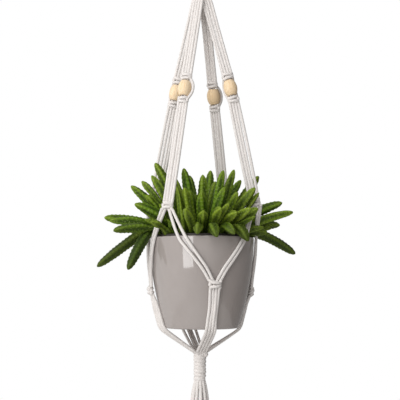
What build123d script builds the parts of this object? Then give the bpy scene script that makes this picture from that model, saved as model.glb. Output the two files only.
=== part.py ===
from build123d import *
import os
from math import cos, degrees, pi, radians, sin, sqrt, tan

# Hanging macrame planter, in millimetres. +Z is up and -Y is the front.
# The origin is where a hook bears, at the top of the hanging ring's eye.
os.makedirs("parts", exist_ok=True)

# Cord: twisted cotton, four strands side by side in each arm.
CORD_D = 3.6
CORD_R = CORD_D / 2
PITCH = 3.7
STRANDS = 4
KNOT_BITE = 1.6
CLEAR = 0.3

# Hanging ring and the cords folded over it.
RING_EYE_R = 18.5
RING_BAR_R = 4.5
RING_CENTRE_Z = -RING_EYE_R
RING_MID_R = RING_EYE_R + RING_BAR_R
LOOPS = 8
LOOP_END_Z = -50.0
LOOP_END_Y = 2.9

# Crown: the bundle under the ring, its wrap and the spread where the arms part.
CROWN_TOP_Z = -54.0
CROWN_WRAP_TOP_Z = -68.0
CROWN_WRAP_END_Z = -100.0
CROWN_END_Z = -112.0
CROWN_TOP_WIDTH = 31.0
CROWN_TOP_DEPTH = 11.0
BUNDLE_R = 5.4
WRAP_R = 8.4
CROWN_END_R = 15.5

# Cover pot: its outer wall is one arc through three heights.
POT_BASE_Z = -539.0
POT_HEIGHT = 116.0
POT_BASE_R = 47.2
POT_MID_R = 60.4
POT_MID_H = 48.0
POT_RIM_R = 67.6
POT_WALL = 4.5
POT_FLOOR = 5.0
POT_RIM_Z = POT_BASE_Z + POT_HEIGHT

# Grow pot and the mix in it.
LINER_WALL = 1.3
LINER_BASE_R = 41.0
LINER_TOP_R = 59.5
LINER_LIP_R = 61.8
LINER_LIP_H = 5.0
LINER_TOP_Z = POT_RIM_Z + 3.0
MIX_TOP_Z = POT_RIM_Z - 4.0

# Arms, as azimuth from the front towards +X, the turn of the flat band of strands, the arm's
# distance from the axis and height at the bead and at the split knot, and which of the two side
# strands pass round the back of the bead.
ARM_KEYS = ("azimuth", "band", "bead_r", "bead_z", "split_r", "split_z", "behind")
ARMS = {
    "front_left": dict(zip(ARM_KEYS, (-42, -20, 33.0, -231, 64.0, -385, [-1]))),
    "front_right": dict(zip(ARM_KEYS, (77, 4, 38.6, -227, 70.0, -379, [-1, 1]))),
    "back_right": dict(zip(ARM_KEYS, (151, -29, 33.0, -231, 66.0, -385, [-1, 1]))),
    "back_left": dict(zip(ARM_KEYS, (-110, 0, 36.6, -229, 68.0, -385, [-1]))),
}
ARM_TOP_R = 7.6
ARM_TOP_Z = -111.0

# Wooden bead.
BEAD_R = 8.9
BEAD_HALF = 10.3
BEAD_OVAL = 13.2
BEAD_BORE_R = 4.3
SIDE_CORD_R = 11.6
SIDE_CORD_TURN = 45

# Square knots: width along the band, height along the arm, thickness.
BEAD_KNOT = (15.2, 8.0, 7.4)
BEAD_KNOT_AT = BEAD_HALF + 1.8
SPLIT_KNOT = (17.0, 12.4, 8.0)
SIDE_KNOT = (18.0, 12.0, 8.0)
KNOT_ROUND = 2.6

# Knots on the pot's side: azimuth and height of the middle, how far they hang off the wall, and
# for the strands below them the azimuth at the base, the spread of the outer two and the band's tilt.
SIDES = {
    "front": {"azimuth": 14, "z": -483, "off": 0, "base": 12.5, "fan": 1.0, "tilt": 0},
    "right": {"azimuth": 102, "z": -493, "off": 0.8, "base": 102, "fan": 1.0, "tilt": -11},
    "back": {"azimuth": 200, "z": -490, "off": 0, "base": 201, "fan": 1.6, "tilt": 0},
    "left": {"azimuth": -82, "z": -491, "off": 1.1, "base": -82, "fan": 1.0, "tilt": 13},
}
# Net pairs: arm, side, azimuths from and to, share of the turn done at the rim, opening of the pair.
NET = [
    ("front_left", "left", -42, -82, 0.43, 4.4),
    ("front_left", "front", -42, 14, 0.35, 6.4),
    ("front_right", "front", 77, 14, 0.39, 4.2),
    ("front_right", "right", 77, 102, 0.43, 4.8),
    ("back_right", "right", 151, 102, 0.43, 4.2),
    ("back_right", "back", 151, 200, 0.43, 4.2),
    ("back_left", "back", -110, -160, 0.43, 4.2),
    ("back_left", "left", -110, -82, 0.43, 4.6),
]
SLOT_NEAR = 2.6
SLOT_FAR = 7.2
WALL_GAP = 0.95

# Gathering knot under the pot, a little off the axis, and the tassel below it.
GATHER_X = -2.5
GATHER_TOP_Z = -571.0
GATHER_END_Z = -605.5
NECK_TOP_Z = -564.0
NECK_R = 12.5
CRADLE_TURN = 16
CRADLE_END_R = 9.0
TASSEL_TOP_Z = -611.0
TASSEL_TIP_Z = -776.0
TASSEL_OUTER = 11
TASSEL_INNER = 5
TASSEL_OUTER_R = 7.2
TASSEL_INNER_R = 3.15

# Succulent: finger-like stems that rise from the mix in rings, outermost first.
# A ring has its foot radius and the bends, radius and height above the mix, that all its stems take.
# The last ring's stems come out between the two pairs of strands under three of the split knots.
STEM_R = 4.1
STEM_START = 3.0
STEM_RINGS = [
    {"foot": 47.0, "bends": [(56.0, 13.5), (72.0, 17.0)]},
    {"foot": 36.5, "bends": [(56.0, 25.5)]},
    {"foot": 25.5, "bends": [(42.0, 31.0)]},
    {"foot": 14.0, "bends": [(21.0, 30.0)]},
    {"foot": 46.0, "bends": [(54.5, 12.4), (68.0, 12.4)]},
]
# One stem: azimuth at the foot, azimuth, radius and height of the tip.
STEMS = {
    "left": [
        [(-68.5, -61, 104, -462), (-82, -79, 133, -459)],
        [(-64.5, -62, 121, -417), (-78, -76, 118, -402), (-92, -89, 124, -397)],
        [(-66, -65, 91, -383), (-87, -84, 90, -358)],
        [(-78, -82, 60, -328), (-118, -118, 40, -344)],
        [(-112.5, -112.5, 84, -417)],
    ],
    "front": [
        [(-3, -4, 80, -420), (11, 12, 84, -424), (25.5, 27, 84, -420), (39.5, 41.5, 84, -428)],
        [(-13.5, -13, 84, -393), (1, 1, 82, -396), (15, 15, 86, -392), (29.5, 29, 84, -396)]
        + [(43.3, 41.5, 88, -391), (56.6, 52.6, 86, -390)],
        [(-20, -20, 62, -366), (1, 0, 64, -372), (22, 24, 66, -366), (42, 43, 64, -370)]
        + [(62.5, 61, 75, -363)],
        [(-38, -38, 36, -338), (2, 2, 30, -347), (42, 42, 40, -341)],
        [],
    ],
    "right": [
        [(106, 105, 127, -441), (121, 119, 124, -427)],
        [(97, 95, 118, -389), (112, 111, 110, -404), (126, 125, 106, -396)],
        [(96, 96, 104, -377), (118, 112, 80, -341)],
        [(82, 80, 42, -337), (122, 122, 60, -346)],
        [(74.4, 74.4, 84, -417)],
    ],
    "back": [
        [(187, 187, 98, -430), (201, 202, 92, -422), (215, 214, 100, -434)],
        [(180, 179, 98, -399), (194, 194, 96, -394), (208, 209, 98, -402), (222, 223, 92, -392)],
        [(169, 169, 68, -361), (190, 190, 72, -368), (211, 211, 68, -360), (232, 232, 72, -366)],
        [(162, 162, 38, -333), (202, 202, 44, -339)],
        [(153.5, 153.5, 84, -417)],
    ],
}

UP = Vector(0, 0, 1)
volume_errors = []
cord_lengths = {}


def out(azimuth):
    """Horizontal unit vector away from the axis at an azimuth."""
    return Vector(sin(radians(azimuth)), -cos(radians(azimuth)), 0)


def around(azimuth):
    """Horizontal unit vector across an azimuth, to the right when seen from outside at the front."""
    return Vector(cos(radians(azimuth)), sin(radians(azimuth)), 0)


def at(azimuth, radius, z):
    return out(azimuth) * radius + Vector(0, 0, z)


def circle_through(p, q, r):
    """Centre and radius of the circle through three points of a plane."""
    (ax, ay), (bx, by), (cx, cy) = p, q, r
    d = 2 * (ax * (by - cy) + bx * (cy - ay) + cx * (ay - by))
    a2, b2, c2 = ax * ax + ay * ay, bx * bx + by * by, cx * cx + cy * cy
    x = (a2 * (by - cy) + b2 * (cy - ay) + c2 * (ay - by)) / d
    y = (a2 * (cx - bx) + b2 * (ax - cx) + c2 * (bx - ax)) / d
    return x, y, sqrt((ax - x) ** 2 + (ay - y) ** 2)


ARC_X, ARC_H, ARC_R = circle_through(
    (POT_BASE_R, 0), (POT_MID_R, POT_MID_H), (POT_RIM_R, POT_HEIGHT)
)


def pot_radius(z):
    """Outer radius of the cover pot at a height."""
    h = z - POT_BASE_Z
    return ARC_X + sqrt(ARC_R**2 - (h - ARC_H) ** 2)


def corner_radii(points):
    """A corner's radius is as large as its two runs allow."""
    radii = []
    for a, b, c in zip(points, points[1:], points[2:]):
        turn = radians((b - a).get_angle(c - b))
        radii.append(0.45 * min((b - a).length, (c - b).length) / tan(turn / 2))
    return radii


def cord(name, points, radius=CORD_R):
    """A plain tube along straight runs joined by tangent arcs."""
    points = [Vector(p) for p in points]
    if len(points) == 2:
        path = Edge.make_line(points[0], points[1])
    else:
        radii = corner_radii(points)
        print(name, "smallest radius", round(min(radii), 1))
        path = FilletPolyline(*points, radius=radii)
    tube = sweep(Plane(path @ 0, z_dir=path % 0) * Circle(radius), path=path)
    volume_errors.append(abs(tube.volume / (pi * radius**2 * path.length) - 1))
    cord_lengths.setdefault(name, []).append(path.length)
    return tube


def write(name, *solids):
    """One node: a single solid, or a group of separate ones."""
    shape = solids[0] if len(solids) == 1 else Compound(children=list(solids))
    export_step(shape, f"parts/{name}.step")


def slots():
    """Places of the strands across a flat band."""
    return [(i - (STRANDS - 1) / 2) * PITCH for i in range(STRANDS)]


def knot(centre, across, up, size):
    """Square knot's body: a block with rounded edges."""
    width, height, thickness = size
    block = Box(width, thickness, height)
    block = fillet(block.edges(), KNOT_ROUND)
    return Plane(centre, x_dir=across, z_dir=up) * block


# Ring and loops ------------------------------------------------------------
def hanging_ring():
    ring = Torus(RING_MID_R, RING_BAR_R)
    return Pos(0, 0, RING_CENTRE_Z) * Rot(90, 0, 0) * ring


def ring_loop(index):
    """One cord over the ring's bar, its two legs drawn in below it."""
    step = PITCH / (RING_EYE_R - CLEAR - CORD_R)
    angle = (index - (LOOPS - 1) / 2) * step
    down = Vector(sin(angle), 0, -cos(angle))
    bar = Vector(0, 0, RING_CENTRE_Z) + down * RING_MID_R
    reach = RING_BAR_R + CLEAR + CORD_R + 0.5
    end_x = (index - (LOOPS - 1) / 2) * PITCH
    end = Vector(end_x, LOOP_END_Y, LOOP_END_Z)
    start = bar + Vector(0, reach, 0)
    side = start + (end - start) * 0.35 + Vector(0, 1.0, 0)
    top = bar - down * reach
    shoulder = reach * 0.42
    half = [
        top + Vector(0, shoulder, 0),
        bar - down * shoulder + Vector(0, reach, 0),
        Vector(side.X, side.Y, side.Z),
        end,
    ]
    mirrored = [Vector(p.X, -p.Y, p.Z) for p in reversed(half)]
    return mirrored + half


# Arms ----------------------------------------------------------------------
def arm_frame(arm):
    """The arm's places and directions, worked out once for all its pieces."""
    across = around(arm["band"])
    top = at(arm["azimuth"], ARM_TOP_R, ARM_TOP_Z)
    bead = at(arm["azimuth"], arm["bead_r"], arm["bead_z"])
    split = at(arm["azimuth"], arm["split_r"], arm["split_z"])
    axis = ((top - bead).normalized() + (bead - split).normalized()).normalized()
    across = (across - axis * across.dot(axis)).normalized()
    knot_at = BEAD_KNOT_AT + BEAD_KNOT[1] / 2
    upper = bead + axis * knot_at
    lower = bead - axis * knot_at
    return {
        "top": top,
        "bead": bead,
        "split": split,
        "axis": axis,
        "across": across,
        "back": axis.cross(across),
        "upper": upper,
        "lower": lower,
    }


def flat_to(direction, across):
    """The band's direction made square to a run."""
    return (across - direction * across.dot(direction)).normalized()


def band(name, start, end, across):
    """Strands side by side along one straight run."""
    side = flat_to((end - start).normalized(), across)
    return [cord(name, [start + side * s, end + side * s]) for s in slots()]


def bead(frame):
    """Barrel bead with a bore along the arm."""
    end_r = BEAD_R * sqrt(1 - (BEAD_HALF / BEAD_OVAL) ** 2)
    with BuildPart() as part:
        with BuildSketch(Plane.XZ):
            with BuildLine():
                Polyline(
                    (end_r, BEAD_HALF),
                    (BEAD_BORE_R, BEAD_HALF),
                    (BEAD_BORE_R, -BEAD_HALF),
                    (end_r, -BEAD_HALF),
                )
                ThreePointArc((end_r, -BEAD_HALF), (BEAD_R, 0), (end_r, BEAD_HALF))
            make_face()
        revolve(axis=Axis.Z)
    return Plane(frame["bead"], x_dir=frame["across"], z_dir=frame["axis"]) * part.part


def bead_cords(name, frame, behind):
    """Two strands through the bead and one round each side of it."""
    knot_face = BEAD_KNOT_AT + KNOT_BITE
    made = []
    for side in (-1, 1):
        shift = frame["across"] * side * PITCH / 2
        ends = [frame["bead"] + frame["axis"] * knot_face * k + shift for k in (1, -1)]
        made.append(cord(name, ends))
    for side in (-1, 1):
        turn = radians(SIDE_CORD_TURN if side in behind else 0)
        lean = frame["across"] * side * cos(turn) + frame["back"] * sin(turn)
        start = frame["across"] * side * PITCH * 1.55
        high = frame["axis"] * (BEAD_KNOT_AT + 2.2)
        mid = frame["axis"] * 7.6
        shoulder_r = SIDE_CORD_R - 1.0
        route = [
            start + high,
            lean * shoulder_r + mid,
            lean * (SIDE_CORD_R + 0.2),
            lean * shoulder_r - mid,
            start - high,
        ]
        made.append(cord(name, [frame["bead"] + p for p in route]))
    return made


# Net and cradle ------------------------------------------------------------
def on_wall(azimuth, z, off=0):
    return at(azimuth, pot_radius(z) + CORD_R + WALL_GAP + off, z)


def side_knot_frame(side):
    azimuth, z = side["azimuth"], side["z"]
    slope = (pot_radius(z + 5) - pot_radius(z - 5)) / 10
    up = (UP + out(azimuth) * slope).normalized()
    radius = pot_radius(z) + 0.5 + SIDE_KNOT[2] / 2 + side["off"]
    return at(azimuth, radius, z), around(azimuth), up


def net_pair(name, frame, side_name, start_az, end_az, rim_share, opening):
    """Two strands from a split knot, over the rim and across the wall to a side knot."""
    way = 1 if end_az > start_az else -1
    side = SIDES[side_name]
    centre, across_side, up_side = side_knot_frame(side)
    rim_z = POT_RIM_Z + 1.5
    rim_az = start_az + (end_az - start_az) * rim_share
    knot_top_z = side["z"] + SIDE_KNOT[1] / 2
    run_z = rim_z - knot_top_z
    run_s = radians(end_az - rim_az) * pot_radius(POT_BASE_Z + 80)
    size = sqrt(run_z**2 + run_s**2)
    # The band's own left and right may be turned round against the azimuth.
    facing = 1 if frame["across"].dot(around(start_az)) > 0 else -1
    made = []
    for rank in (0, 1):
        # rank 0 is the strand nearer to the arm's middle line.
        slot = (SLOT_NEAR, SLOT_FAR)[rank] * way * facing
        down = (frame["lower"] - frame["split"]).normalized() * -1
        side_dir = flat_to(down, frame["across"])
        inside = SPLIT_KNOT[1] / 2 - KNOT_BITE
        start = frame["split"] + down * inside + side_dir * slot
        shift = (rank - 0.5) * opening * way
        points = [start]
        for share in (0.0, 0.28, 0.55, 0.8):
            az = rim_az + (end_az - rim_az) * share * 0.93
            z = rim_z - run_z * share
            az += degrees(shift * run_z / size / pot_radius(POT_BASE_Z + 90))
            z += shift * run_s / size
            points.append(on_wall(az, min(z, POT_RIM_Z + 4), side["off"] * share))
        end_slot = -way * (SLOT_FAR, SLOT_NEAR)[rank]
        end = centre + up_side * (SIDE_KNOT[1] / 2 - KNOT_BITE) + across_side * end_slot
        end -= out(end_az) * 1.2
        points.append(end)
        made.append(cord(name, points))
    return made


def cradle(name, side, turn):
    """Four strands from a side knot round the base edge to the gathering knot."""
    centre, across, up = side_knot_frame(side)
    inward = out(turn)
    base = side["base"]
    middle = (side["azimuth"] + base) / 2
    tilt = radians(side["tilt"])
    low_across = around(base) * cos(tilt) - out(base) * sin(tilt)
    made = []
    for slot in slots():
        low_slot = slot * (side["fan"] if abs(slot) > PITCH else 1)
        start = centre - up * (SIDE_KNOT[1] / 2 - KNOT_BITE) + across * slot - out(side["azimuth"]) * 0.8
        wall = on_wall(middle, POT_BASE_Z + 30, side["off"]) + low_across * (slot + low_slot) / 2
        low_wall = on_wall(base, POT_BASE_Z + 13, side["off"]) + low_across * low_slot
        edge = at(base, POT_BASE_R + 3.6 + side["off"] * 0.6, POT_BASE_Z + 0.5) + low_across * low_slot
        under = at(base, POT_BASE_R - 4.0, POT_BASE_Z - 6.5) + low_across * low_slot
        end = inward * CRADLE_END_R + around(turn) * slot + Vector(GATHER_X, 0, GATHER_TOP_Z + 3)
        made.append(cord(name, [start, wall, low_wall, edge, under, end]))
    return made


# Bundles, wraps and tassel -------------------------------------------------
def revolved(profile):
    """A solid of revolution about the planter's axis, from radius and height points."""
    with BuildPart() as part:
        with BuildSketch(Plane.XZ):
            with BuildLine():
                Polyline(*profile, close=True)
            make_face()
        revolve(axis=Axis.Z)
    return part.part


def wrap_sleeve(top_z, end_z):
    """The wound cord, as a sleeve that touches the bundle inside it."""
    sleeve = revolved([(BUNDLE_R, top_z), (WRAP_R, top_z), (WRAP_R, end_z), (BUNDLE_R, end_z)])
    outer = sleeve.edges().filter_by(GeomType.CIRCLE).filter_by(lambda e: e.radius > WRAP_R - 0.01)
    return fillet(outer, 1.2)


def crown_bundle():
    """Sixteen strands drawn from a flat spread into a round waist, then spread to the arms."""
    bundle = revolved(
        [
            (0, CROWN_TOP_Z),
            (CROWN_TOP_WIDTH / 2, CROWN_TOP_Z),
            (BUNDLE_R, CROWN_WRAP_TOP_Z),
            (BUNDLE_R, CROWN_WRAP_END_Z),
            (CROWN_END_R, CROWN_END_Z),
            (0, CROWN_END_Z),
        ]
    )
    height = CROWN_TOP_Z - CROWN_WRAP_TOP_Z
    slab = Box(2 * CROWN_TOP_WIDTH, CROWN_TOP_WIDTH, height)
    for side in (-1, 1):
        middle_y = side * (CROWN_TOP_DEPTH + CROWN_TOP_WIDTH) / 2
        bundle -= Pos(0, middle_y, CROWN_WRAP_TOP_Z + height / 2) * slab
    return bundle


def gathering_bundle():
    return revolved(
        [
            (0, NECK_TOP_Z),
            (NECK_R, NECK_TOP_Z),
            (BUNDLE_R, GATHER_TOP_Z),
            (BUNDLE_R, GATHER_END_Z),
            (0, GATHER_END_Z),
        ]
    )


def tassel_strand(name, index, count, radius, tip_z):
    """One loose end, leaning out a little as it hangs."""
    azimuth = 360 * (index + 0.25) / count
    lean = 1 + 0.12 * sin(index * 2.4)
    route = [
        at(azimuth, radius, TASSEL_TOP_Z),
        at(azimuth, radius * (1.42 + 0.05 * lean), TASSEL_TOP_Z - 20),
        at(azimuth, radius * (1.62 + 0.08 * lean), TASSEL_TOP_Z - 62),
        at(azimuth, radius * (1.70 + 0.12 * lean), tip_z),
    ]
    return cord(name, [place + Vector(GATHER_X, 0, 0) for place in route])


# Pots, mix and plant -------------------------------------------------------
def cover_pot():
    heights = [POT_BASE_Z + h for h in (POT_FLOOR, POT_MID_H, POT_HEIGHT)]
    inner = [(pot_radius(z) - POT_WALL, z) for z in heights]
    with BuildPart() as part:
        with BuildSketch(Plane.XZ):
            with BuildLine():
                ThreePointArc(
                    (POT_BASE_R, POT_BASE_Z),
                    (POT_MID_R, POT_BASE_Z + POT_MID_H),
                    (POT_RIM_R, POT_RIM_Z),
                )
                Line((POT_RIM_R, POT_RIM_Z), inner[2])
                ThreePointArc(inner[2], inner[1], inner[0])
                Polyline(inner[0], (0, POT_BASE_Z + POT_FLOOR), (0, POT_BASE_Z), (POT_BASE_R, POT_BASE_Z))
            make_face()
        revolve(axis=Axis.Z)
    pot = part.part
    rim = pot.edges().filter_by(GeomType.CIRCLE).group_by(Axis.Z)[-1]
    pot = fillet(rim, 1.6)
    base = pot.edges().filter_by(GeomType.CIRCLE).group_by(Axis.Z)[0]
    return fillet(base, 2.5)


def grow_pot():
    """Thin liner with a lip that stands just above the cover pot's rim."""
    base_z = POT_BASE_Z + POT_FLOOR
    lip_z = LINER_TOP_Z - LINER_LIP_H
    return revolved(
        [
            (0, base_z),
            (LINER_BASE_R, base_z),
            (LINER_TOP_R, lip_z),
            (LINER_LIP_R, lip_z),
            (LINER_LIP_R, LINER_TOP_Z),
            (LINER_TOP_R - LINER_WALL, LINER_TOP_Z),
            (LINER_BASE_R - LINER_WALL, base_z + LINER_WALL),
            (0, base_z + LINER_WALL),
        ]
    )


def liner_inner(z):
    base_z = POT_BASE_Z + POT_FLOOR
    share = (z - base_z) / (LINER_TOP_Z - base_z)
    return LINER_BASE_R - LINER_WALL + (LINER_TOP_R - LINER_BASE_R) * share


def potting_mix():
    floor_z = POT_BASE_Z + POT_FLOOR + LINER_WALL
    return revolved(
        [
            (0, floor_z),
            (liner_inner(floor_z) - CLEAR - 0.4, floor_z),
            (liner_inner(MIX_TOP_Z) - CLEAR - 0.4, MIX_TOP_Z),
            (0, MIX_TOP_Z),
        ]
    )


def stem(name, ring, foot_az, tip_az, tip_r, tip_z):
    """A finger-like stem: a tube with a round tip, bent as its ring is."""
    foot = at(foot_az, ring["foot"], MIX_TOP_Z + STEM_START)
    bends = [at(foot_az, radius, MIX_TOP_Z + height) for radius, height in ring["bends"]]
    tip = at(tip_az, tip_r, tip_z)
    return cord(name, [foot, *bends, tip], STEM_R) + Pos(*tip) * Sphere(STEM_R)


def stems(name, rings):
    return [stem(name, STEM_RINGS[i], *place) for i, ring in enumerate(rings) for place in ring]


def build():
    write("hanging_ring", hanging_ring())
    write("ring_loops", *[cord("ring_loops", ring_loop(i)) for i in range(LOOPS)])
    write("crown_bundle", crown_bundle())
    write("crown_wrap", wrap_sleeve(CROWN_WRAP_TOP_Z, CROWN_WRAP_END_Z))
    frames = {name: arm_frame(arm) for name, arm in ARMS.items()}
    for name, frame in frames.items():
        axis, across = frame["axis"], frame["across"]
        upper_end = frame["upper"] + axis * (BEAD_KNOT[1] / 2 - KNOT_BITE)
        lower_start = frame["lower"] - axis * (BEAD_KNOT[1] / 2 - KNOT_BITE)
        fall = (frame["lower"] - frame["split"]).normalized()
        split_top = frame["split"] + fall * (SPLIT_KNOT[1] / 2 - KNOT_BITE)
        write(f"{name}_upper_cords", *band(f"{name}_upper_cords", frame["top"], upper_end, across))
        write(f"{name}_upper_knot", knot(frame["upper"], across, axis, BEAD_KNOT))
        write(f"{name}_bead", bead(frame))
        write(f"{name}_bead_cords", *bead_cords(f"{name}_bead_cords", frame, ARMS[name]["behind"]))
        write(f"{name}_lower_knot", knot(frame["lower"], across, axis, BEAD_KNOT))
        write(f"{name}_lower_cords", *band(f"{name}_lower_cords", lower_start, split_top, across))
        write(f"{name}_split_knot", knot(frame["split"], flat_to(fall, across), fall, SPLIT_KNOT))
    for arm_name, side_name, start_az, end_az, share, opening in NET:
        name = f"net_{arm_name}_to_{side_name}"
        write(name, *net_pair(name, frames[arm_name], side_name, start_az, end_az, share, opening))
    for rank, (name, side) in enumerate(SIDES.items()):
        centre, across, up = side_knot_frame(side)
        write(f"{name}_knot", knot(centre, across, up, SIDE_KNOT))
        write(f"{name}_cradle_cords", *cradle(f"{name}_cradle_cords", side, CRADLE_TURN + 90 * rank))
    write("gathering_bundle", Pos(GATHER_X, 0, 0) * gathering_bundle())
    write("gathering_wrap", Pos(GATHER_X, 0, 0) * wrap_sleeve(GATHER_TOP_Z, GATHER_END_Z))
    strands = [("outer", i, TASSEL_OUTER, TASSEL_OUTER_R) for i in range(TASSEL_OUTER)]
    strands += [("inner", i, TASSEL_INNER, TASSEL_INNER_R) for i in range(TASSEL_INNER)]
    halves = {"tassel_front": [], "tassel_back": []}
    for ring, index, count, radius in strands:
        half = "tassel_front" if cos(radians(360 * (index + 0.25) / count)) > 0 else "tassel_back"
        tip_z = TASSEL_TIP_Z + 9 * (0.5 + 0.5 * sin(index * 4.1 + radius))
        halves[half].append(tassel_strand(half, index, count, radius, tip_z))
    for name, made in halves.items():
        write(name, *made)
    write("cover_pot", cover_pot())
    write("grow_pot", grow_pot())
    write("potting_mix", potting_mix())
    for name, rings in STEMS.items():
        write(f"{name}_stems", *stems(f"{name}_stems", rings))
    print("largest volume error of a cord tube", max(volume_errors))
    for name, lengths in cord_lengths.items():
        print(name, "lengths", [round(x) for x in lengths])


build()
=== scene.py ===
# %% [markdown]
# # A hanging macrame planter
# The real object is eight cotton cords folded over a ring, so that sixteen strands hang from it.
# They are bound at the crown, tied round four wooden beads, knotted into a net round a glazed pot
# and bound again under it.
# The CAD frame gives every true size and every joint. Here each soft piece is built again with
# the shape and finish of the real one, and it rides on the CAD body that moves it.

from math import cos, pi, radians, sin, sqrt

import bpy
import numpy as np
from mathutils import Matrix


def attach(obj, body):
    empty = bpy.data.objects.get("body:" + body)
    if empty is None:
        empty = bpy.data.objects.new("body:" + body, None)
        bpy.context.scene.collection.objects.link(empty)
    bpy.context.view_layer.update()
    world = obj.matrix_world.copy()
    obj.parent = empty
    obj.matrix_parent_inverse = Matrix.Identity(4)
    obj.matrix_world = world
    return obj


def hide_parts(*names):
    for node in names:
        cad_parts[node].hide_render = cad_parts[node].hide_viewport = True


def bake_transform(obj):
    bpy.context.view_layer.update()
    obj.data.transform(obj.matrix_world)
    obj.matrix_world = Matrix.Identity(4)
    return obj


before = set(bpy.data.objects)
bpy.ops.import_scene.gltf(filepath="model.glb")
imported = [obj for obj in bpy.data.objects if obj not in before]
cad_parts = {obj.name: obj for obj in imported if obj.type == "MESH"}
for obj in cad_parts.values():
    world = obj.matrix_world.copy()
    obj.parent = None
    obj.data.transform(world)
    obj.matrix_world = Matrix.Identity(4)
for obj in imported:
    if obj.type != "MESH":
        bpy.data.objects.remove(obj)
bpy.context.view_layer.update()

# %% [markdown]
# ## Camera
# The planter hangs a little above eye level, so the camera looks slightly up at it from the
# front. A long lens keeps the pot's curve calm. The ring and the end of the tassel lie outside
# the view.

# %% Camera
SENSOR_WIDTH = 36
LENS = 81
EYE = (-0.0023, -1.170, -0.480)
LOOK_UP = 5.2

camera = bpy.data.objects.new("camera", bpy.data.cameras.new("camera"))
bpy.context.scene.collection.objects.link(camera)
camera.data.sensor_width = SENSOR_WIDTH
camera.data.lens = LENS
camera.location = EYE
camera.rotation_euler = (radians(90 + LOOK_UP), 0, 0)
bpy.context.scene.camera = camera
bpy.context.scene.view_settings.view_transform = "Standard"

# %% [markdown]
# ## Places and routes
# The net is described by angles round the planter's axis, so three helpers turn an angle, a
# radius and a height into a point. The driving sizes are the CAD part's own, in metres.

# %% Places round the axis
CORD_D = 0.0036
CORD_R = CORD_D / 2
PITCH = 0.0037
UP = np.array([0.0, 0.0, 1.0])


def out(azimuth):
    """Horizontal unit vector away from the axis; 0 is the front."""
    return np.array([sin(radians(azimuth)), -cos(radians(azimuth)), 0.0])


def around(azimuth):
    """Horizontal unit vector across an azimuth."""
    return np.array([cos(radians(azimuth)), sin(radians(azimuth)), 0.0])


def at(azimuth, radius, z):
    return out(azimuth) * radius + UP * z


def unit(vector):
    return vector / np.linalg.norm(vector)


def turned(x, y, z):
    """The rotation that takes the three axes to three given directions."""
    return Matrix(np.stack([x, y, z], axis=1).tolist())


def square_to(direction, across):
    """The part of across that is square to a direction."""
    return unit(across - direction * across.dot(direction))


def slots():
    """Places of four strands side by side."""
    return [(i - 1.5) * PITCH for i in range(4)]


# %% [markdown]
# ## Shader maths as Python
# Node trees get hard to read once they have a dozen Math nodes. One small class wraps a socket,
# so that an ordinary expression adds the Math nodes. One method adds any other node.

# %% Node helpers
class Value:
    """A shader socket that takes part in sums like a number."""

    def __init__(self, board, socket):
        self.board, self.socket = board, socket

    def math(self, operation, first, second=0.0):
        return self.board.node("ShaderNodeMath", {"operation": operation}, {0: first, 1: second})

    def __add__(self, other):
        return self.math("ADD", self, other)

    def __sub__(self, other):
        return self.math("SUBTRACT", self, other)

    def __rsub__(self, other):
        return self.math("SUBTRACT", other, self)

    def __mul__(self, other):
        return self.math("MULTIPLY", self, other)

    __radd__ = __add__


class Board:
    """A node tree that nodes are added to."""

    def __init__(self, tree):
        self.tree = tree

    def feed(self, socket, value):
        if isinstance(value, Value):
            self.tree.links.new(value.socket, socket)
        elif socket.type == "RGBA":
            socket.default_value = (*value, 1)
        else:
            socket.default_value = value

    def node(self, kind, settings=None, sockets=None, output=0):
        made = self.tree.nodes.new(kind)
        for key, value in (settings or {}).items():
            setattr(made, key, value)
        for key, value in (sockets or {}).items():
            self.feed(made.inputs[key], value)
        return Value(self, made.outputs[output]) if made.outputs else made

    def blend(self, amount, first, second):
        """One colour turning into another."""
        sockets = {0: amount, 6: first, 7: second}
        return self.node("ShaderNodeMix", {"data_type": "RGBA"}, sockets, output=2)

    def noise(self, where, scale, detail=2.0, rough=0.5, **more):
        sockets = {"Vector": where, "Scale": scale, "Detail": detail, "Roughness": rough, **more}
        return self.node("ShaderNodeTexNoise", sockets=sockets)

    def spread(self, value, low, high):
        """A value's stretch from low to high drawn out to 0 to 1."""
        sockets = {"Value": value, "From Min": low, "From Max": high}
        return self.node("ShaderNodeMapRange", sockets=sockets)

    def stretched(self, where, scale):
        sockets = {0: where, 1: scale}
        return self.node("ShaderNodeVectorMath", {"operation": "MULTIPLY"}, sockets)

    def attribute(self, name, output="Fac"):
        return self.node("ShaderNodeAttribute", {"attribute_name": name}, output=output)


class Finish(Board):
    """A material: fixed values go on the shader's own sockets, painted ones through nodes."""

    def __init__(self, name, fixed):
        self.material = bpy.data.materials.new(name)
        self.material.use_nodes = True
        super().__init__(self.material.node_tree)
        self.shader = self.tree.nodes["Principled BSDF"]
        for socket, value in fixed.items():
            self.feed(self.shader.inputs[socket], value)

    def paint(self, **painted):
        names = {"colour": "Base Color", "roughness": "Roughness"}
        for key, value in painted.items():
            self.feed(self.shader.inputs[names[key]], value)

    def bump(self, height, distance, strength=1.0):
        sockets = {"Height": height, "Distance": distance, "Strength": strength}
        self.feed(self.shader.inputs["Normal"], self.node("ShaderNodeBump", sockets=sockets))

    def place(self):
        """Where a point is on its own object."""
        return self.node("ShaderNodeTexCoord", output="Object")


# %% [markdown]
# ## Light
# A white room with one tall soft window to the front left, and two weaker lamps higher up that
# light the arms. The window draws the pale stripe on the glaze and leaves the pot's right side in
# soft shade. The backdrop is the world's own white;
# what the object reflects is dimmer and falls off to the right, so that the glaze keeps its depth.

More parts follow.
